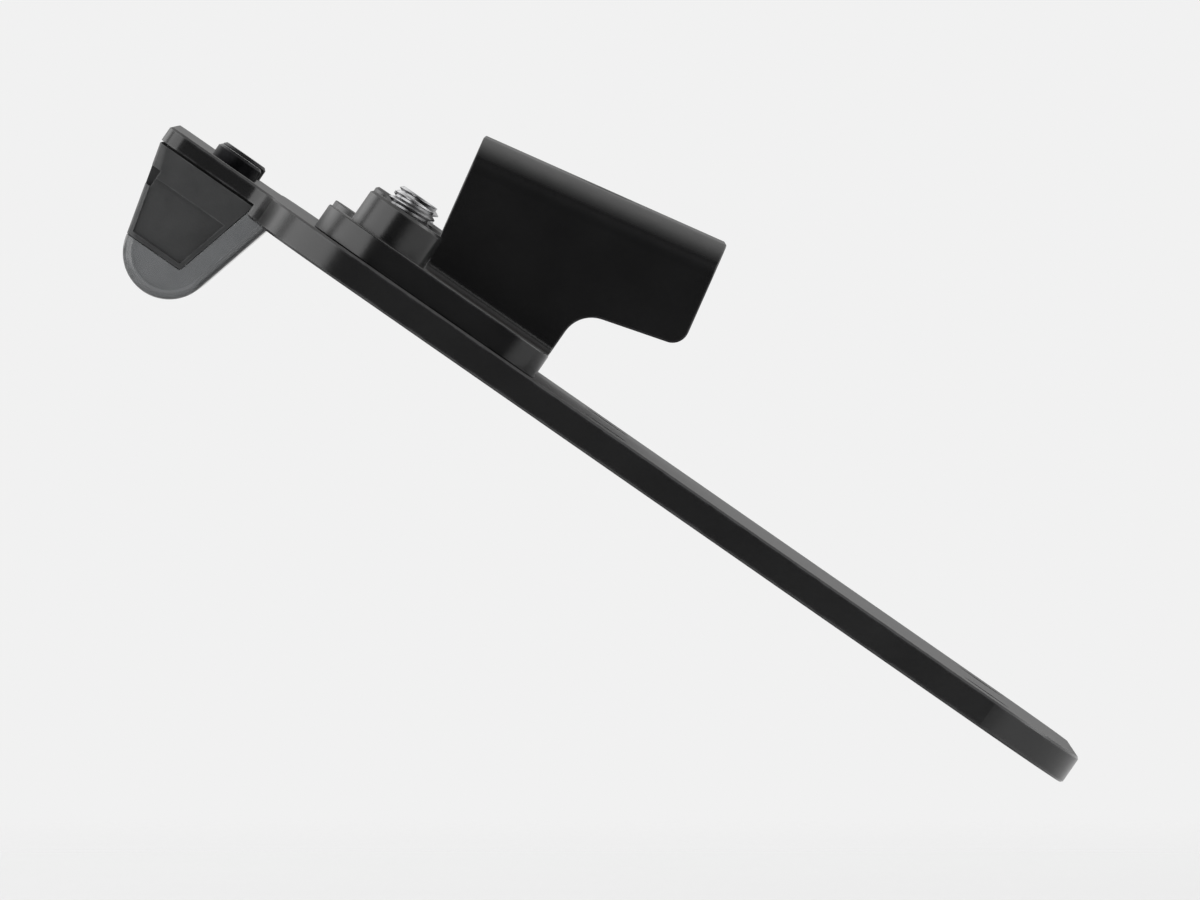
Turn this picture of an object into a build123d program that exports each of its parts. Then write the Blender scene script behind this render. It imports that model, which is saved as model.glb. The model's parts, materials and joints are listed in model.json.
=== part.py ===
from build123d import *
from math import cos, pi, radians, sin, tan
import os

# Tail tidy: a folded undertail bracket, a number-plate hanger bolted to its feet, and a plate lamp.
# Millimetres and degrees. +X points forward along the motorbike, +Y to its left, +Z up.
# The origin is midway between the two undertail bolt holes, on the mounting face.

# Slopes of the mounting face and of the hanger, falling towards the front
mount_slope = 24.0
hanger_slope = 34.8

# Place of the hanger's rear edge, behind and below the origin in the mounting face's own axes
hanger_setback = 35.0
hanger_drop = 16.4

# Radial clearance of every pin, screw and bush in its hole, and gap of glued seams
fit = 0.05

# Undertail bracket, one folded sheet
sheet = 3.2
bend_radius = 1.2
channel_width = 54.0
channel_length = 31.1
lobe_depth = 13.0
lobe_slope = 5.0
lobe_corner = 2.0
notch_radius = 3.7
foot_rear = 5.75
foot_length = 31.05
foot_width = 16.3
foot_corner = 4.8

# Two undertail bolt holes side by side, and the lead hole between them
mount_spacing = 32.0
mount_hole_radius = 3.3
web_bush_radius = 6.0
web_bush_bore = 3.6
web_bush_flange = 8.5
web_bush_flange_height = 1.4

# Hanger plate with its lamp tab
hanger_length = 114.3
hanger_width = 92.0
hanger_thickness = 3.6
hanger_corner = 12.0
hanger_edge_break = 0.25
tab_length = 14.7
tab_width = 58.0
tab_corner = 2.6
tab_blend = 3.0
shoulder_flat = 0.5
tab_thickness = 2.0
plate_hole_spacing = 54.0
plate_hole_radius = 3.25
plate_hole_margin = 13.0

# M6 countersunk hanger screws, in round nuts that are pressed into the feet
bolt_radius = 3.0
bolt_clearance = 0.3
bolt_length = 12.8
bolt_head_radius = 6.0
bolt_socket_width = 4.0
bolt_socket_depth = 2.4
bolt_tip_chamfer = 0.6
nut_radius = 5.1
nut_height = 4.2
nut_chamfer = 0.3
nut_shank_radius = 4.35
nut_shank_length = 2.2

# Number-plate lamp: a tapered U from the side, hung under the tab
lamp_axis = -6.4
lamp_width = 58.0
lamp_depth = 15.45
lamp_nose_radius = 5.45
lamp_taper = 14.6
lamp_side_round = 1.2
lens_wall = 3.1
lens_nose = 4.5
lamp_top_wall = 2.0
lamp_rear_wall = 2.0
lamp_side_wall = 2.4
panel_recess = 0.4
panel_margin = 0.6
panel_top = 3.7
clip_slot_length = 2.2
clip_slot_depth = 1.0
clip_slot_width = 4.0
clip_slot_drop = 2.7
gasket_thickness = 0.3
gasket_margin = 0.8
gasket_corner = 2.0
seat_clearance = 0.4
lead_hole_radius = 1.5

# M3 lamp screws in threaded inserts, a little forward of the lamp's middle
lamp_screw_spacing = 40.0
lamp_screw_forward = 0.45
screw_radius = 1.5
screw_clearance = 0.2
screw_length = 8.0
screw_head_radius = 3.0
screw_head_height = 1.65
screw_head_chamfer = 0.3
screw_socket_width = 2.0
screw_socket_depth = 1.0
insert_radius = 2.1
insert_length = 5.0
boss_radius = 2.9
boss_length = 5.6

# Bush for the lamp's lead in the tab, between the lamp screws
lead_bush_radius = 2.3
lead_bush_flange = 2.9
lead_bush_flange_height = 1.0

# Circuit board and its diodes, standing along the lamp's rear wall
board_length = 28.0
board_height = 5.4
board_thickness = 1.2
board_drop = 0.4
led_count = 3
led_pitch = 9.0
led_length = 3.5
led_height = 2.8
led_thickness = 1.0


def sloped_plane(origin, slope):
    """Plane falling towards the front: local x runs forward along it, y to the left and z out of it."""
    a = radians(slope)
    return Plane(origin=origin, x_dir=(cos(a), 0, -sin(a)), z_dir=(sin(a), 0, cos(a)))


mount = sloped_plane((0, 0, 0), mount_slope)
hanger = sloped_plane(mount.from_local_coords((-hanger_setback, 0, -hanger_drop)), hanger_slope)


def side_plane(base, left):
    """Upright plane along the motorbike: local x and y are base's forward and outward axes."""
    return Plane(origin=base.from_local_coords((0, left, 0)), x_dir=base.x_dir, z_dir=-base.y_dir)


def cross_plane(base, forward):
    """Plane across the motorbike: local x and y are base's left and outward axes."""
    return Plane(origin=base.from_local_coords((forward, 0, 0)), x_dir=base.y_dir, z_dir=base.x_dir)


def pin(base, place, radius, low, high):
    """Round bar or hole on a plane, from one height to another."""
    bar = Cylinder(radius, high - low, align=(Align.CENTER, Align.CENTER, Align.MIN))
    return base.location * Pos(place[0], place[1], low) * bar


def turned(*section):
    """Solid of revolution about Z from points of (radius, height)."""
    return revolve(Plane.XZ * make_face(Polyline(*section, close=True)), Axis.Z)


def corner(sketch, place):
    """The vertex of a sketch that lies nearest to a point of its own plane."""
    return sketch.vertices().sort_by_distance((place[0], place[1], 0))[0]


def both_sides(shape):
    """A solid together with its mirror image on the other side of the motorbike."""
    return [shape, mirror(shape, about=Plane.XZ)]


# Values that several pieces share
fold = sheet + bend_radius
wall_face = channel_width / 2
web_flat = wall_face - fold
foot_front = foot_rear + foot_length
foot_inner = wall_face + bend_radius
foot_outer = foot_inner + foot_width
foot_middle = foot_inner + foot_width / 2
bolt_hole_radius = bolt_radius + bolt_clearance
bolt_forward = foot_rear + foot_width / 2
bolt_places = [(bolt_forward, foot_middle), (bolt_forward, -foot_middle)]
mount_holes = [(0, mount_spacing / 2), (0, -mount_spacing / 2)]
plate_front = hanger_length - plate_hole_margin
plate_rear = plate_front - plate_hole_spacing
plate_half = plate_hole_spacing / 2
plate_holes = [(x, y) for x in (plate_front, plate_rear) for y in (plate_half, -plate_half)]
screw_hole_radius = screw_radius + screw_clearance
screw_forward = lamp_axis + lamp_screw_forward
screw_places = [(screw_forward, lamp_screw_spacing / 2), (screw_forward, -lamp_screw_spacing / 2)]
lead_place = (screw_forward, 0)
lamp_top = -tab_thickness - gasket_thickness
lamp_bottom = lamp_top - lamp_depth
nose_centre = lamp_bottom + lamp_nose_radius
lens_line = lamp_bottom + lens_nose
taper = radians(lamp_taper)
turn = radians(hanger_slope - mount_slope)
leg_rear = (hanger_setback - channel_length / 2 - fold * sin(turn)) / cos(turn)


def lamp_half_width(inset):
    """Half of the lamp's width at its top, drawn in from the outside by an inset."""
    nose = lamp_nose_radius - inset
    return nose * cos(taper) + (lamp_top - nose_centre + nose * sin(taper)) * tan(taper)


# Undertail bracket

def bracket_web():
    """Mounting plate with the bolt holes and the lead hole."""
    web = extrude(mount * Rectangle(channel_length, 2 * web_flat), amount=-sheet)
    for place in mount_holes:
        web -= pin(mount, place, mount_hole_radius, -sheet, 0)
    return web - pin(mount, (0, 0), web_bush_radius, -sheet, 0)


def above_hanger(forward, out):
    """Point given along and out of the hanger, in the mounting face's forward and outward axes."""
    across = forward * cos(turn) + out * sin(turn)
    up = out * cos(turn) - forward * sin(turn)
    return (across - hanger_setback, up - hanger_drop)


def wall_outline():
    """Side wall in the mounting face's axes: square to it at its top, with a notch between lobe and leg."""
    half = channel_length / 2
    front_foot = above_hanger(foot_front, fold)
    rear_foot = above_hanger(leg_rear, fold)
    # The lobe's lower edge runs back from the front corner to the leg's front edge, square to the hanger
    rise = radians(lobe_slope)
    back = (half - front_foot[0] + (front_foot[1] + lobe_depth) * tan(turn)) / (1 - tan(rise) * tan(turn))
    notch = (half - back, -lobe_depth - tan(rise) * back)
    lobe = (half, -lobe_depth)
    # The notch's round ends where the leg meets its foot's fold
    leg_front = (notch[1] - front_foot[1]) / cos(turn)
    notch_limit = leg_front / tan((pi / 2 - turn - rise) / 2)
    top_rear = (-half, -fold)
    top_front = (half, -fold)
    outline = make_face(Polyline(top_rear, top_front, lobe, notch, front_foot, rear_foot, close=True))
    outline = fillet(corner(outline, lobe), lobe_corner)
    return fillet(corner(outline, notch), min(notch_radius, notch_limit))


def fold_section(left, out, left_sign, out_sign):
    """Quarter ring of one fold, centred on (left, out) and lying in the quadrant that the signs give."""
    ring = Circle(fold) - Circle(bend_radius)
    quadrant = Pos(left_sign * fold / 2, out_sign * fold / 2) * Rectangle(fold, fold)
    return Pos(left, out) * (ring & quadrant)


def bracket_foot():
    """Outward foot, longer to the rear than its leg and half round there, about its nut."""
    straight = foot_front - bolt_forward
    outline = Pos(bolt_forward + straight / 2, foot_middle) * Rectangle(straight, foot_width)
    outline = fillet(corner(outline, (foot_front, foot_outer)), foot_corner)
    outline += Pos(bolt_forward, foot_middle) * Circle(foot_width / 2)
    foot = extrude(hanger * outline, amount=sheet)
    return foot - pin(hanger, bolt_places[0], nut_shank_radius + fit, 0, sheet)


def undertail_bracket():
    outline = wall_outline()
    wall = extrude(side_plane(mount, wall_face) * outline, amount=sheet)
    top_fold = fold_section(web_flat, -fold, 1, 1)
    top_fold = extrude(cross_plane(mount, -channel_length / 2) * top_fold, amount=channel_length)
    foot_fold = fold_section(foot_inner, fold, -1, -1)
    foot_fold = extrude(cross_plane(hanger, leg_rear) * foot_fold, amount=foot_front - leg_rear)
    side = top_fold + wall + foot_fold + bracket_foot()
    near, far = both_sides(side)
    return bracket_web() + near + far


def web_bush():
    """Rubber bush pushed up into the web's lead hole, flush with the mounting face."""
    bush = pin(mount, (0, 0), web_bush_radius - fit, -sheet, 0)
    bush += pin(mount, (0, 0), web_bush_flange, -sheet - web_bush_flange_height, -sheet)
    return bush - pin(mount, (0, 0), web_bush_bore, -sheet - web_bush_flange_height, 0)


# Hanger and its fastenings

def countersink(extra):
    """Cone of the countersunk screw's head with its point up, grown all round by extra."""
    wide = bolt_head_radius + extra
    narrow = bolt_radius + extra
    return Cone(wide, narrow, wide - narrow, align=(Align.CENTER, Align.CENTER, Align.MIN))


def hanger_outline():
    """Plan of the hanger and its tab, with its rear corners kept clear of the tab's blend."""
    tab = Pos(-tab_length / 2, 0) * Rectangle(tab_length, tab_width)
    outline = tab + Pos(hanger_length / 2, 0) * Rectangle(hanger_length, hanger_width)
    side = hanger_width / 2
    tab_side = tab_width / 2
    rear_corner = min(hanger_corner, side - tab_side - tab_blend - shoulder_flat)
    rounds = [
        (hanger_length, side, hanger_corner),
        (0, side, rear_corner),
        (0, tab_side, tab_blend),
        (-tab_length, tab_side, tab_corner),
    ]
    for forward, left, radius in rounds:
        outline = fillet([corner(outline, (forward, left)), corner(outline, (forward, -left))], radius)
    return outline


def plate_hanger():
    body = extrude(hanger * hanger_outline(), amount=-hanger_thickness)
    flats = body.faces().sort_by(Axis(hanger.origin, hanger.z_dir))
    body = chamfer(flats[0].edges() + flats[-1].edges(), hanger_edge_break)

    # Rebate under the tab, which the lamp sits in
    seat_front = lamp_axis + lamp_half_width(0) + seat_clearance
    seat_depth = hanger_thickness - tab_thickness
    seat_length = seat_front + tab_length
    seat = Box(seat_length, lamp_width + 2 * seat_clearance, seat_depth)
    seat_middle = Pos(seat_front - seat_length / 2, 0, seat_depth / 2 - hanger_thickness)
    body -= hanger.location * seat_middle * seat

    for place in bolt_places:
        body -= pin(hanger, place, bolt_hole_radius, -hanger_thickness, 0)
        body -= hanger.location * Pos(place[0], place[1], -hanger_thickness) * countersink(fit)
    for place in plate_holes:
        body -= pin(hanger, place, plate_hole_radius, -hanger_thickness, 0)
    for place in screw_places:
        body -= pin(hanger, place, screw_hole_radius, -hanger_thickness, 0)
    return body - pin(hanger, lead_place, lead_bush_radius, -hanger_thickness, 0)


def hex_bar(width, height):
    """Hexagonal bar with a corner towards each side of the motorbike."""
    return extrude(RegularPolygon(width / 2, 6, major_radius=False, rotation=90), amount=height)


def hanger_bolts():
    """Countersunk screws, heads flush with the hanger's underside."""
    shank = turned(
        (0, 0),
        (bolt_radius, 0),
        (bolt_radius, bolt_length - bolt_tip_chamfer),
        (bolt_radius - bolt_tip_chamfer, bolt_length),
        (0, bolt_length),
    )
    bolt = shank + countersink(0) - hex_bar(bolt_socket_width, bolt_socket_depth)
    return [hanger.location * Pos(x, y, -hanger_thickness) * bolt for x, y in bolt_places]


def press_nuts():
    """Round nuts on the feet, each with a shank pressed into the foot's hole."""
    bore = bolt_radius + fit
    nut = turned(
        (bore, -nut_shank_length),
        (nut_shank_radius, -nut_shank_length),
        (nut_shank_radius, 0),
        (nut_radius, 0),
        (nut_radius, nut_height - nut_chamfer),
        (nut_radius - nut_chamfer, nut_height),
        (bore, nut_height),
    )
    return [hanger.location * Pos(x, y, sheet) * nut for x, y in bolt_places]


# Number-plate lamp

def lamp_outline(inset):
    """Tapered U of the lamp's side, drawn in by an inset except at its top."""
    nose = lamp_nose_radius - inset
    side_u = nose * cos(taper)
    side_v = nose_centre - nose * sin(taper)
    half = lamp_half_width(inset)
    sides = Polyline((-side_u, side_v), (-half, lamp_top), (half, lamp_top), (side_u, side_v))
    round_nose = ThreePointArc((side_u, side_v), (0, nose_centre - nose), (-side_u, side_v))
    return Pos(lamp_axis, 0) * make_face(sides + round_nose)


def lamp_block(region, width):
    """Region of the lamp's side, carried through a width centred on the motorbike."""
    return extrude(side_plane(hanger, width / 2) * region, amount=width)


def lamp_body():
    """Whole outer form of the lamp, its two ends rounded all along the U."""
    body = lamp_block(lamp_outline(0), lamp_width)
    ends = body.faces().sort_by(Axis.Y)
    top = hanger.from_local_coords((lamp_axis, 0, lamp_top))
    rims = [
        edge
        for end in (ends[0], ends[-1])
        for edge in end.edges()
        if abs((edge.center() - top).dot(hanger.z_dir)) > lamp_side_round
    ]
    return fillet(rims, lamp_side_round)


def lamp_section(rear, gap):
    """Lamp's side behind its lens, drawn in by rear from the rear face and by gap from the lens."""
    size = 2 * lamp_depth
    middle = lens_line + gap + size / 2
    above = Pos(lamp_axis, middle) * Rectangle(size, size)
    behind = Pos(lamp_axis - size / 2, middle) * Rectangle(size, size)
    return (lamp_outline(lens_wall + gap) & above) + (lamp_outline(rear) & behind)


def below_top(drop):
    """Part of the lamp's side that lies further below its top than a drop."""
    size = 2 * lamp_depth
    return Pos(lamp_axis, lamp_top - drop - size / 2) * Rectangle(size, size)


def lamp_lens():
    """Clear cover down the lamp's front, with the whole nose below a line."""
    band = lamp_outline(0) - lamp_section(-fit, 0)
    return lamp_body() & lamp_block(band, lamp_width)


def lamp_housing():
    """Moulded body behind the lens, open towards it, with screw bosses and a lead hole in its top."""
    inside = lamp_block(lamp_section(0, fit), lamp_width)
    body = lamp_body() & inside

    cavity = lamp_section(lamp_rear_wall, 0) & below_top(lamp_top_wall)
    body -= lamp_block(cavity, lamp_width - 2 * lamp_side_wall)
    panel = lamp_section(panel_margin, panel_margin) & below_top(panel_top)
    body -= lamp_block(panel, lamp_width) - lamp_block(panel, lamp_width - 2 * panel_recess)

    for x, y in screw_places:
        boss = pin(hanger, (x, y), boss_radius, lamp_top - boss_length, lamp_top - lamp_top_wall)
        body += boss & inside
        body -= pin(hanger, (x, y), insert_radius + fit, lamp_top - boss_length, lamp_top)
    body -= pin(hanger, lead_place, lead_hole_radius, lamp_top - lamp_top_wall, lamp_top)

    # Clip slots in the rear corners
    slot_v = lamp_top - clip_slot_drop - clip_slot_length / 2
    slot_u = lamp_axis - lamp_half_width(0) + (lamp_top - slot_v) * tan(taper)
    slot = Box(2 * clip_slot_depth, clip_slot_width, clip_slot_length)
    slot = hanger.location * Pos(slot_u, (lamp_width - clip_slot_width) / 2, slot_v) * slot
    for side in both_sides(slot):
        body -= side
    return body


def lamp_gasket():
    """Thin seat between the tab and the lamp's top."""
    size_u = 2 * (lamp_half_width(0) - gasket_margin)
    outline = RectangleRounded(size_u, lamp_width - 2 * gasket_margin, gasket_corner)
    gasket = extrude(hanger.offset(lamp_top) * (Pos(lamp_axis, 0) * outline), amount=gasket_thickness)
    for place in screw_places:
        gasket -= pin(hanger, place, screw_hole_radius, lamp_top, -tab_thickness)
    return gasket - pin(hanger, lead_place, lead_hole_radius, lamp_top, -tab_thickness)


def board_plane():
    """Plane of the lamp's rear inner wall: local x runs to the left, y up the wall and z into the lamp."""
    top_u = lamp_axis - lamp_half_width(lamp_rear_wall) + (lamp_top_wall + board_drop) * tan(taper)
    origin = hanger.from_local_coords((top_u, 0, lamp_top - lamp_top_wall - board_drop))
    inward = hanger.x_dir * cos(taper) + hanger.z_dir * sin(taper)
    return Plane(origin=origin, x_dir=hanger.y_dir, z_dir=inward)


def lamp_board():
    outline = Pos(0, -board_height / 2) * Rectangle(board_length, board_height)
    return extrude(board_plane().offset(fit) * outline, amount=board_thickness)


def lamp_leds():
    """Diodes in a row on the board."""
    seat = board_plane().offset(fit + board_thickness)
    led = Box(led_length, led_height, led_thickness, align=(Align.CENTER, Align.CENTER, Align.MIN))
    middle = (led_count - 1) / 2
    places = [Pos((i - middle) * led_pitch, -board_height / 2) for i in range(led_count)]
    return [seat.location * place * led for place in places]


def lamp_inserts():
    """Brass inserts pressed into the housing's bosses, flush with its top."""
    low = lamp_top - insert_length
    bore = screw_radius + fit
    return [
        pin(hanger, place, insert_radius, low, lamp_top) - pin(hanger, place, bore, low, lamp_top)
        for place in screw_places
    ]


def lamp_screws():
    """Low-head socket screws, down through the tab into the inserts."""
    blank = turned(
        (0, -screw_length),
        (screw_radius, -screw_length),
        (screw_radius, 0),
        (screw_head_radius, 0),
        (screw_head_radius, screw_head_height - screw_head_chamfer),
        (screw_head_radius - screw_head_chamfer, screw_head_height),
        (0, screw_head_height),
    )
    socket = hex_bar(screw_socket_width, screw_socket_depth)
    screw = blank - Pos(0, 0, screw_head_height - screw_socket_depth) * socket
    return [hanger.location * Pos(x, y, 0) * screw for x, y in screw_places]


def lead_bush():
    """Rubber bush in the tab, with a flange on its top."""
    bush = pin(hanger, lead_place, lead_bush_radius - fit, -tab_thickness, 0)
    bush += pin(hanger, lead_place, lead_bush_flange, 0, lead_bush_flange_height)
    return bush - pin(hanger, lead_place, lead_hole_radius, -tab_thickness, lead_bush_flange_height)


pieces = {
    "undertail_bracket": undertail_bracket(),
    "web_bush": web_bush(),
    "plate_hanger": plate_hanger(),
    "hanger_bolts": hanger_bolts(),
    "press_nuts": press_nuts(),
    "lamp_gasket": lamp_gasket(),
    "lamp_housing": lamp_housing(),
    "lamp_lens": lamp_lens(),
    "lamp_board": lamp_board(),
    "lamp_leds": lamp_leds(),
    "lamp_inserts": lamp_inserts(),
    "lamp_screws": lamp_screws(),
    "lead_bush": lead_bush(),
}

os.makedirs("parts", exist_ok=True)
for name, piece in pieces.items():
    shape = Compound(piece) if isinstance(piece, list) else piece
    export_step(shape, f"parts/{name}.step")
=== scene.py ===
import json
from math import ceil, cos, pi, radians, sin

import bmesh
import bpy
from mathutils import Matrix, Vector

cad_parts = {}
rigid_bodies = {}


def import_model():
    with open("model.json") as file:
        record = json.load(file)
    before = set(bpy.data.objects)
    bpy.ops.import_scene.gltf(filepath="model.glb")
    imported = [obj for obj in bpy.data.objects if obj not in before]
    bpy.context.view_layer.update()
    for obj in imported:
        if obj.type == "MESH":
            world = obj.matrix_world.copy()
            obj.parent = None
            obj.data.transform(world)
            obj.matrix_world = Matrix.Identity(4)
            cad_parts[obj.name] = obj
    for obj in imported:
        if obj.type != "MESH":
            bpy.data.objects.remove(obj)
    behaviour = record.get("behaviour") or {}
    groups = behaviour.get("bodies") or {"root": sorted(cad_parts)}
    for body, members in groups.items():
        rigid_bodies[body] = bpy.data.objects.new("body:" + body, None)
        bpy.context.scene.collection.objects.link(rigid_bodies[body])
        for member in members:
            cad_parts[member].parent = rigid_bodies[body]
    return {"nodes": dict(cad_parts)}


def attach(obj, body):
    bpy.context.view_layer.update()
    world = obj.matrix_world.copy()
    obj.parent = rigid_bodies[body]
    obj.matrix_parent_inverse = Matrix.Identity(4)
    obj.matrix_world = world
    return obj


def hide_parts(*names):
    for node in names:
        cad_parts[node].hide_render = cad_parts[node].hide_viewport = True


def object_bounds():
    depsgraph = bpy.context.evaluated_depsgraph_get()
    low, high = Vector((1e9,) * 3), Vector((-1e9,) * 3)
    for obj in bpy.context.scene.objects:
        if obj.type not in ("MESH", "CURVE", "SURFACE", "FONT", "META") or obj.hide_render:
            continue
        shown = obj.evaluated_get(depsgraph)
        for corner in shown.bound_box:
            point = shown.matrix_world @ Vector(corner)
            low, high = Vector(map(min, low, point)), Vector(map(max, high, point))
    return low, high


# Blender's own start-up objects aren't part of the scene
for item in list(bpy.data.objects):
    bpy.data.objects.remove(item, do_unlink=True)

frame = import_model()
cad_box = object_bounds()
nodes = frame["nodes"]
scene = bpy.context.scene
scene.view_settings.view_transform = "Standard"

# All lengths are in metres
MM = 0.001


# Node helpers

def put(tree, kind, inputs=None, **settings):
    """Adds a node, sets its properties, and sets or links its inputs by name or number."""
    made = tree.nodes.new(kind)
    for key, value in settings.items():
        setattr(made, key, value)
    for key, value in (inputs or {}).items():
        if isinstance(value, bpy.types.NodeSocket):
            tree.links.new(value, made.inputs[key])
        else:
            made.inputs[key].default_value = value
    return made


def point(tree):
    """The shaded point in its object's own axes."""
    return put(tree, "ShaderNodeTexCoord").outputs["Object"]


def normal(tree):
    """The surface's own direction."""
    return put(tree, "ShaderNodeNewGeometry").outputs["Normal"]


def noise(tree, size, detail):
    """Noise from 0 to 1 whose features are about a size across."""
    inputs = {"Vector": point(tree), "Scale": 1 / size, "Detail": detail}
    return put(tree, "ShaderNodeTexNoise", inputs).outputs["Fac"]


def calculate(tree, operation, a, b):
    """The result of a Math node on two values."""
    return put(tree, "ShaderNodeMath", {0: a, 1: b}, operation=operation).outputs["Value"]


def multiply(tree, a, b):
    """The product of two values."""
    return calculate(tree, "MULTIPLY", a, b)


def dot(tree, a, b):
    """The dot product of two vectors."""
    return put(tree, "ShaderNodeVectorMath", {0: a, 1: b}, operation="DOT_PRODUCT").outputs["Value"]


def spread(tree, value, span, to=(0, 1)):
    """Maps a value from one span to another and holds it there."""
    inputs = {"Value": value, "From Min": span[0], "From Max": span[1], "To Min": to[0], "To Max": to[1]}
    return put(tree, "ShaderNodeMapRange", inputs).outputs["Result"]


def blend(tree, share, a, b):
    """Mixes two colours, given as three numbers or as sockets."""
    # A Mix node keeps its two colours at inputs 6 and 7, and the mixed one at output 2
    made = put(tree, "ShaderNodeMix", {0: share}, data_type="RGBA")
    for index, colour in ((6, a), (7, b)):
        if isinstance(colour, bpy.types.NodeSocket):
            tree.links.new(colour, made.inputs[index])
        else:
            made.inputs[index].default_value = (*colour, 1)
    return made.outputs[2]


def choose(tree, share, a, b):
    """Mixes two numbers, which a Mix node keeps at inputs 2 and 3."""
    return put(tree, "ShaderNodeMix", {0: share, 2: a, 3: b}).outputs[0]


def clouds(tree, size, detail):
    """Soft patches from 0 to 1, about a size across."""
    return spread(tree, noise(tree, size, detail), span=(0.35, 0.65))


def drift(tree, size, least, most):
    """A value that drifts between two others, in patches about a size across."""
    return spread(tree, noise(tree, size, detail=3), span=(0.3, 0.7), to=(least, most))


def edges(tree, radius):
    """1 on an edge and 0 on a flat, within a radius."""
    soft = put(tree, "ShaderNodeBevel", {"Radius": radius}, samples=6).outputs["Normal"]
    return spread(tree, dot(tree, soft, normal(tree)), span=(0.90, 0.995), to=(1, 0))


def wear(tree, radius, size, detail, span, to):
    """How worn the edges are within a radius, in patches about a size across."""
    return multiply(tree, edges(tree, radius), spread(tree, noise(tree, size, detail), span, to))


def upward(tree):
    """1 on a surface that looks up, 0 on one that looks sideways, and less on one that looks down."""
    return put(tree, "ShaderNodeSeparateXYZ", {0: normal(tree)}).outputs["Z"]


def bump(tree, height, depth, under=None):
    """Raises the surface by a height from 0 to 1 times a depth, on top of another bump if there is one."""
    inputs = {"Height": height, "Distance": depth, "Strength": 1.0}
    if under is not None:
        inputs["Normal"] = under
    return put(tree, "ShaderNodeBump", inputs).outputs["Normal"]


def material(name, **sockets):
    """A new Principled material with its plain values set on the shader."""
    made = bpy.data.materials.new(name)
    made.use_nodes = True
    shader = made.node_tree.nodes["Principled BSDF"]
    for key, value in sockets.items():
        shader.inputs[key.replace("_", " ")].default_value = value
    return made, made.node_tree, shader


def wire(tree, shader, **sockets):
    """Links what varies over the surface to the shader's inputs."""
    for key, value in sockets.items():
        tree.links.new(value, shader.inputs[key.replace("_", " ")])


# Materials

DUST_COLOUR = (0.07, 0.068, 0.064)
DUST_COVER = 0.35
DUST_ROUGHNESS = 0.50
SCUFF_GAIN = 2.2
TRACK_PITCH = 1.5 * MM
TRACK_COVER = 0.6


def coat(name, dark, light, worn, roughness, specular):
    """Baked black coat: fine orange peel, cloudy gloss, dusty tops, and edges rubbed a little lighter."""
    made, tree, shader = material(name, Specular_IOR_Level=specular)
    top = spread(tree, upward(tree), span=(0.4, 0.9))
    dust = multiply(tree, multiply(tree, top, DUST_COVER), noise(tree, size=1.6 * MM, detail=5))
    rubbed = wear(tree, radius=0.45 * MM, size=2.2 * MM, detail=5, span=(0.40, 0.62), to=(0.15, 1))
    colour = blend(tree, clouds(tree, size=14 * MM, detail=3), dark, light)
    colour = blend(tree, dust, colour, DUST_COLOUR)
    colour = blend(tree, rubbed, colour, worn)
    rough = drift(tree, size=6 * MM, least=roughness - 0.015, most=roughness + 0.02)
    rough = calculate(tree, "ADD", rough, multiply(tree, top, DUST_ROUGHNESS))
    peel = bump(tree, noise(tree, size=0.7 * MM, detail=2), depth=0.006 * MM)
    grain = bump(tree, noise(tree, size=0.2 * MM, detail=1), depth=0.0015 * MM, under=peel)
    wire(tree, shader, Base_Color=colour, Roughness=rough, Normal=grain)
    return made


def moulded(name, dark, light, roughness, specular, grain_size, grain_depth):
    """Moulded plastic or rubber with a spark-eroded grain and scuffed edges."""
    made, tree, shader = material(name, Specular_IOR_Level=specular)
    scuffed = wear(tree, radius=0.3 * MM, size=1.4 * MM, detail=4, span=(0.4, 0.65), to=(0.1, 0.8))
    colour = blend(tree, clouds(tree, size=6 * MM, detail=4), dark, light)
    colour = blend(tree, scuffed, colour, tuple(SCUFF_GAIN * part for part in light))
    rough = drift(tree, size=2 * MM, least=roughness - 0.07, most=roughness + 0.07)
    grain = bump(tree, noise(tree, grain_size, detail=3), grain_depth)
    wire(tree, shader, Base_Color=colour, Roughness=rough, Normal=grain)
    return made


def bare_metal(name, dark, light, roughness):
    """Machined metal with cloudy gloss and a fine cut."""
    made, tree, shader = material(name, Metallic=1.0)
    colour = blend(tree, clouds(tree, size=1.5 * MM, detail=4), dark, light)
    rough = drift(tree, size=0.7 * MM, least=roughness - 0.06, most=roughness + 0.08)
    cut = bump(tree, noise(tree, size=0.25 * MM, detail=2), depth=0.004 * MM)
    wire(tree, shader, Base_Color=colour, Roughness=rough, Normal=cut)
    return made


def clear_plastic(name, dark, light):
    """Clear moulded cover with a faint grey body, cloudy gloss and a fine flow ripple."""
    made, tree, shader = material(name, Transmission_Weight=0.8, IOR=1.52)
    colour = blend(tree, clouds(tree, size=5 * MM, detail=3), dark, light)
    rough = drift(tree, size=2 * MM, least=0.06, most=0.12)
    ripple = bump(tree, noise(tree, size=3 * MM, detail=2), depth=0.02 * MM)
    wire(tree, shader, Base_Color=colour, Roughness=rough, Normal=ripple)
    return made


def board_face(name, dark, light, copper):
    """Solder resist with the copper tracks showing faintly through it."""
    made, tree, shader = material(name, Roughness=0.35)
    sideways = dot(tree, point(tree), (0, 1, 0))
    track = calculate(tree, "PINGPONG", calculate(tree, "DIVIDE", sideways, TRACK_PITCH), 0.5)
    track = spread(tree, track, span=(0.30, 0.34))
    colour = blend(tree, noise(tree, size=3 * MM, detail=3), dark, light)
    colour = blend(tree, multiply(tree, track, TRACK_COVER), colour, copper)
    wire(tree, shader, Base_Color=colour, Normal=bump(tree, track, depth=0.03 * MM))
    return made


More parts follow.
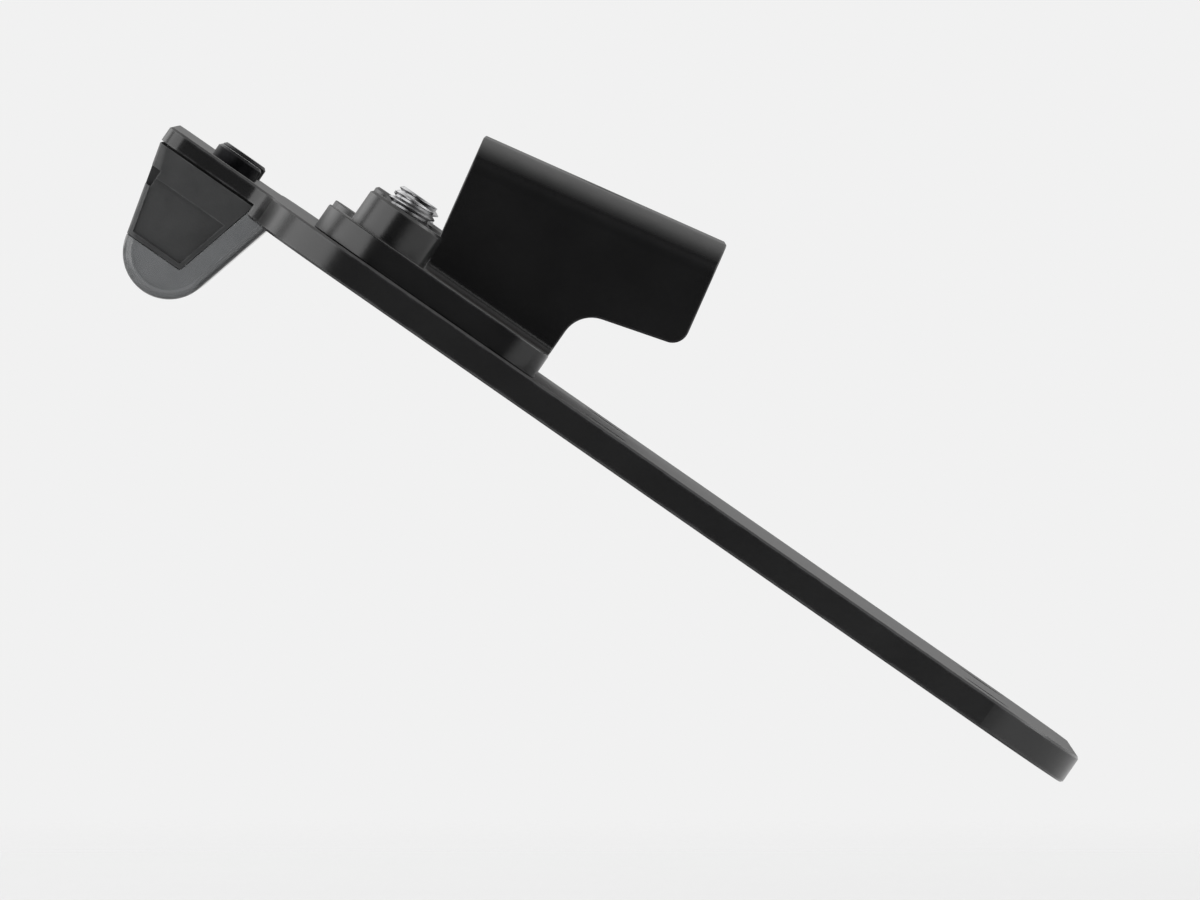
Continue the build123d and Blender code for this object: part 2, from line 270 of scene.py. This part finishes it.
def diode_face(name, dark, light):
    """Phosphor with a fine grain."""
    made, tree, shader = material(name)
    grain = noise(tree, size=0.2 * MM, detail=3)
    colour = blend(tree, grain, dark, light)
    rough = spread(tree, grain, span=(0.3, 0.7), to=(0.35, 0.55))
    wire(tree, shader, Base_Color=colour, Roughness=rough, Normal=bump(tree, grain, depth=0.02 * MM))
    return made


bracket_coat = coat(
    "bracket_coat",
    dark=(0.0034, 0.0034, 0.0036),
    light=(0.0056, 0.0056, 0.0058),
    worn=(0.045, 0.045, 0.046),
    roughness=0.22,
    specular=0.60,
)
hanger_coat = coat(
    "hanger_coat",
    dark=(0.0066, 0.0066, 0.0068),
    light=(0.0092, 0.0092, 0.0094),
    worn=(0.055, 0.055, 0.056),
    roughness=0.22,
    specular=0.60,
)
rubber = moulded(
    "black_rubber_grain",
    dark=(0.010, 0.010, 0.010),
    light=(0.018, 0.018, 0.018),
    roughness=0.72,
    specular=0.25,
    grain_size=0.3 * MM,
    grain_depth=0.02 * MM,
)
plastic = moulded(
    "housing_grain",
    dark=(0.025, 0.0255, 0.026),
    light=(0.033, 0.0335, 0.034),
    roughness=0.48,
    specular=0.40,
    grain_size=0.25 * MM,
    grain_depth=0.012 * MM,
)
black_oxide = bare_metal(
    "black_oxide", dark=(0.008, 0.008, 0.009), light=(0.018, 0.018, 0.019), roughness=0.42
)
steel = bare_metal("zinc_steel", dark=(0.24, 0.24, 0.245), light=(0.34, 0.34, 0.345), roughness=0.30)
brass = bare_metal("brass_turned", dark=(0.62, 0.42, 0.14), light=(0.74, 0.54, 0.22), roughness=0.30)
clear_cover = clear_plastic("clear_cover", dark=(0.155, 0.16, 0.165), light=(0.20, 0.205, 0.21))
solder_resist = board_face(
    "solder_resist", dark=(0.006, 0.055, 0.020), light=(0.010, 0.085, 0.032), copper=(0.03, 0.15, 0.05)
)
phosphor = diode_face("phosphor", dark=(0.62, 0.43, 0.03), light=(0.80, 0.62, 0.10))

dress = {
    "undertail_bracket": bracket_coat,
    "press_nuts": bracket_coat,
    "plate_hanger": hanger_coat,
    "hanger_bolts": steel,
    "web_bush": rubber,
    "lead_bush": rubber,
    "lamp_gasket": rubber,
    "lamp_housing": plastic,
    "lamp_lens": clear_cover,
    "lamp_board": solder_resist,
    "lamp_leds": phosphor,
    "lamp_inserts": brass,
    "lamp_screws": black_oxide,
}
for name, made in dress.items():
    nodes[name].data.materials.clear()
    nodes[name].data.materials.append(made)


# Hanger screws with their threads cut, in place of the plain ones

# Slopes in degrees and places, as in the CAD model
MOUNT_SLOPE = 24
HANGER_SLOPE = 34.8
HANGER_SETBACK = 35 * MM
HANGER_DROP = 16.4 * MM
HANGER_THICKNESS = 3.6 * MM
BOLT_FORWARD = 13.9 * MM
BOLT_SIDE = 36.35 * MM

# One screw: its sizes in the CAD model, the broken edges of its head, and an M6 thread
BOLT_RADIUS = 3 * MM
BOLT_LENGTH = 12.8 * MM
BOLT_HEAD_RADIUS = 6 * MM
BOLT_TIP_CHAMFER = 0.6 * MM
SOCKET_WIDTH = 4 * MM
SOCKET_DEPTH = 2.4 * MM
BROKEN_EDGE = 0.15 * MM
THREAD_PITCH = 1 * MM
THREAD_DEPTH = 0.6 * MM
# One turn's profile as (share of the pitch, share of the depth): crest, flank, root and flank
THREAD_TURN = [
    (0, 0),
    (0.125, 0),
    (0.23, 1 / 3),
    (0.333, 2 / 3),
    (0.4375, 1),
    (0.5625, 1),
    (0.6875, 1),
    (0.79, 2 / 3),
    (0.896, 1 / 3),
]

# Its mesh: sides of a ring, how close points are joined, and the angle from which an edge looks sharp
SIDES = 72
ANGLES = [2 * pi * step / SIDES for step in range(SIDES)]
JOIN_DISTANCE = 0.0005 * MM
SHARP_ANGLE = radians(35)


def slope_axes(degrees):
    """Forward and outward directions of a face that falls towards the front."""
    slope = radians(degrees)
    return Vector((cos(slope), 0, -sin(slope))), Vector((sin(slope), 0, cos(slope)))


def head_rings():
    """Rings of the head as (radius, height) at each angle, from its socket's floor to its edge."""

    def hexagon(angle):
        """Distance from the axis to the socket's side."""
        return SOCKET_WIDTH / 2 / cos((angle + pi / 6) % (pi / 3) - pi / 6)

    return [
        [(hexagon(angle), SOCKET_DEPTH) for angle in ANGLES],
        [(hexagon(angle), BROKEN_EDGE) for angle in ANGLES],
        [(hexagon(angle) + BROKEN_EDGE, 0) for angle in ANGLES],
        [(BOLT_HEAD_RADIUS - BROKEN_EDGE, 0)] * SIDES,
        [(BOLT_HEAD_RADIUS - BROKEN_EDGE / 2, BROKEN_EDGE / 2)] * SIDES,
    ]


def thread_rings():
    """Rings of the thread, each one turn of its spiral, held between the countersunk head and the tip."""
    neck = BOLT_HEAD_RADIUS - BOLT_RADIUS
    turns = ceil((BOLT_LENGTH - neck) / THREAD_PITCH) + 1
    rings = []
    for turn in range(-1, turns):
        for share, cut in THREAD_TURN:
            ring = []
            for angle in ANGLES:
                height = neck + (turn + share + angle / (2 * pi)) * THREAD_PITCH
                height = min(max(height, neck), BOLT_LENGTH)
                depth = THREAD_DEPTH * cut * min((height - neck) / THREAD_PITCH, 1)
                chamfer = BOLT_RADIUS - BOLT_TIP_CHAMFER + BOLT_LENGTH - height
                ring.append((min(BOLT_RADIUS - depth, chamfer), height))
            rings.append(ring)
    return rings


def hanger_screws():
    """Both screws as one piece: each ring is joined to the next, and its end to the next turn's start."""
    mount_along, mount_out = slope_axes(MOUNT_SLOPE)
    along, out = slope_axes(HANGER_SLOPE)
    rear_edge = mount_along * -HANGER_SETBACK - mount_out * HANGER_DROP
    heads = head_rings()
    rings = heads + thread_rings()
    turn = len(THREAD_TURN)
    made = bmesh.new()
    for side in (BOLT_SIDE, -BOLT_SIDE):
        base = rear_edge + along * BOLT_FORWARD - out * HANGER_THICKNESS + Vector((0, side, 0))
        grid = []
        for ring in rings:
            row = []
            for angle, (radius, height) in zip(ANGLES, ring):
                across = along * (radius * cos(angle)) + Vector((0, radius * sin(angle), 0))
                row.append(made.verts.new(base + (across + out * height)))
            grid.append(row)
        for index, (near, far) in enumerate(zip(grid, grid[1:])):
            for step in range(SIDES):
                if step < SIDES - 1:
                    ends = near[step + 1], far[step + 1]
                elif index < len(heads):
                    ends = near[0], far[0]
                elif index + 1 + turn < len(grid):
                    ends = grid[index + turn][0], grid[index + 1 + turn][0]
                else:
                    ends = grid[-1][0], grid[-1][0]
                # A corner that is there twice counts once
                made.faces.new(list(dict.fromkeys((near[step], *ends, far[step]))))
        made.faces.new(grid[0][::-1])
        made.faces.new(grid[-1])
    bmesh.ops.remove_doubles(made, verts=made.verts, dist=JOIN_DISTANCE)
    bmesh.ops.recalc_face_normals(made, faces=made.faces)
    mesh = bpy.data.meshes.new("threaded_bolts")
    made.to_mesh(mesh)
    made.free()
    mesh.shade_smooth()
    mesh.set_sharp_from_angle(angle=SHARP_ANGLE)
    mesh.materials.append(steel)
    piece = bpy.data.objects.new("threaded_bolts", mesh)
    scene.collection.objects.link(piece)
    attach(piece, "root")
    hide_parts("hanger_bolts")


hanger_screws()


# Soft edges on the pieces whose CAD edges are sharp

WELD_DISTANCE = 0.001 * MM
FLAT_ANGLE = radians(0.2)
EDGE_ANGLE = radians(30)
EDGE_SEGMENTS = 2
EDGE_WIDTHS = {
    "undertail_bracket": 0.3 * MM,
    "lamp_housing": 0.12 * MM,
    "lamp_lens": 0.12 * MM,
}


def soften(name, width):
    """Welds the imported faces, joins the flat ones and rounds the edges between them."""
    modifiers = nodes[name].modifiers
    modifiers.new("weld", "WELD").merge_threshold = WELD_DISTANCE
    flat = modifiers.new("flat", "DECIMATE")
    flat.decimate_type = "DISSOLVE"
    flat.angle_limit = FLAT_ANGLE
    rounded = modifiers.new("edges", "BEVEL")
    rounded.width = width
    rounded.segments = EDGE_SEGMENTS
    rounded.limit_method = "ANGLE"
    rounded.angle_limit = EDGE_ANGLE
    modifiers.new("clean", "WELD").merge_threshold = WELD_DISTANCE
    modifiers.new("normals", "WEIGHTED_NORMAL")


for name, width in EDGE_WIDTHS.items():
    soften(name, width)


# Floor, light and camera

low, high = cad_box
middle = (low + high) / 2

FLOOR_HALF = 2.5
FLOOR_DROP = 26 * MM
# How far from the origin the floor begins to fade, and where it is gone
FLOOR_FADE = (0.2, 0.7)

# Brightness, where 1 is white: the backdrop, its dim side in the part's gloss, and the room's own light
BACKDROP_LEVEL = 0.88
DIM_LEVEL = 0.06
ROOM_LEVEL = 0.35
# Where the dim side ends and the backdrop begins, as the sideways part of a direction
DIM_SPAN = (-0.6, 0.3)

# The camera's lens and sensor are in millimetres, as Blender takes them
LENS = 800
SENSOR_WIDTH = 36
CLIP_END = 20
CAMERA_TILT = radians(0.9)
# The picture's width, and how far in front of the part's middle it is measured, close to the near wall
PICTURE_WIDTH = 140 * MM
PICTURE_PLANE = 30 * MM


def floor():
    """Pale sheet under the part, which fades into the backdrop all round."""
    height = low.z - FLOOR_DROP
    corners = [(FLOOR_HALF * x, FLOOR_HALF * y, height) for x, y in ((-1, -1), (1, -1), (1, 1), (-1, 1))]
    mesh = bpy.data.meshes.new("floor")
    mesh.from_pydata(corners, [], [(0, 1, 2, 3)])
    sheet = bpy.data.objects.new("floor", mesh)
    scene.collection.objects.link(sheet)
    made, tree, shader = material("floor_paper", Roughness=0.9, Specular_IOR_Level=0.1)
    paper = blend(tree, noise(tree, size=40 * MM, detail=4), (0.84, 0.84, 0.84), (0.86, 0.86, 0.86))
    away = put(tree, "ShaderNodeVectorMath", {0: point(tree)}, operation="LENGTH").outputs["Value"]
    wire(tree, shader, Base_Color=paper, Alpha=spread(tree, away, FLOOR_FADE, to=(1, 0)))
    mesh.materials.append(made)


def backdrop():
    """Pale room: even where it is seen, and dimmer in the part's gloss towards its right-hand side."""
    world = bpy.data.worlds.new("backdrop")
    scene.world = world
    world.use_nodes = True
    tree = world.node_tree
    look = put(tree, "ShaderNodeTexCoord").outputs["Generated"]
    sideways = put(tree, "ShaderNodeSeparateXYZ", {0: look}).outputs["Y"]
    shade = spread(tree, sideways, DIM_SPAN, to=(DIM_LEVEL, BACKDROP_LEVEL))
    path = put(tree, "ShaderNodeLightPath").outputs
    mirrored = calculate(tree, "MAXIMUM", path["Is Glossy Ray"], path["Is Transmission Ray"])
    level = choose(tree, mirrored, ROOM_LEVEL, shade)
    level = choose(tree, path["Is Camera Ray"], level, BACKDROP_LEVEL)
    shader = tree.nodes["Background"]
    shader.inputs["Color"].default_value = (1, 1, 1, 1)
    wire(tree, shader, Strength=level)


def softbox(name, place, size, radiance):
    """Soft lamp that looks at the part from a place measured from its middle, and isn't seen itself."""
    lamp = bpy.data.lights.new(name, "AREA")
    lamp.shape = "RECTANGLE"
    lamp.size, lamp.size_y = size
    lamp.energy = radiance * pi * size[0] * size[1]
    holder = bpy.data.objects.new(name, lamp)
    scene.collection.objects.link(holder)
    holder.location = middle + Vector(place)
    holder.rotation_euler = (-Vector(place)).to_track_quat("-Z", "Y").to_euler()
    holder.visible_camera = False


def photo_camera():
    """Camera far off to the part's right and nearly level, as the photograph was taken."""
    camera = bpy.data.cameras.new("camera")
    camera.lens = LENS
    camera.sensor_width = SENSOR_WIDTH
    camera.clip_end = CLIP_END
    eye = bpy.data.objects.new("camera", camera)
    scene.collection.objects.link(eye)
    reach = PICTURE_WIDTH * LENS / SENSOR_WIDTH + PICTURE_PLANE
    back = Vector((0, -cos(CAMERA_TILT), sin(CAMERA_TILT)))
    eye.location = middle + back * reach
    eye.rotation_euler = (-back).to_track_quat("-Z", "Y").to_euler()
    scene.camera = eye


floor()
backdrop()
softbox("top", place=(0.0, 0.8, 1.0), size=(1.3, 1.0), radiance=1.3)
softbox("rear_end", place=(-0.84, -0.59, 0.20), size=(1.3, 1.2), radiance=2.2)
softbox("rear_kick", place=(-0.78, 0.55, 0.54), size=(0.6, 0.9), radiance=1.5)
softbox("front_end", place=(0.95, -0.40, 0.20), size=(1.8, 1.2), radiance=1.75)
photo_camera()

bpy.context.view_layer.update()
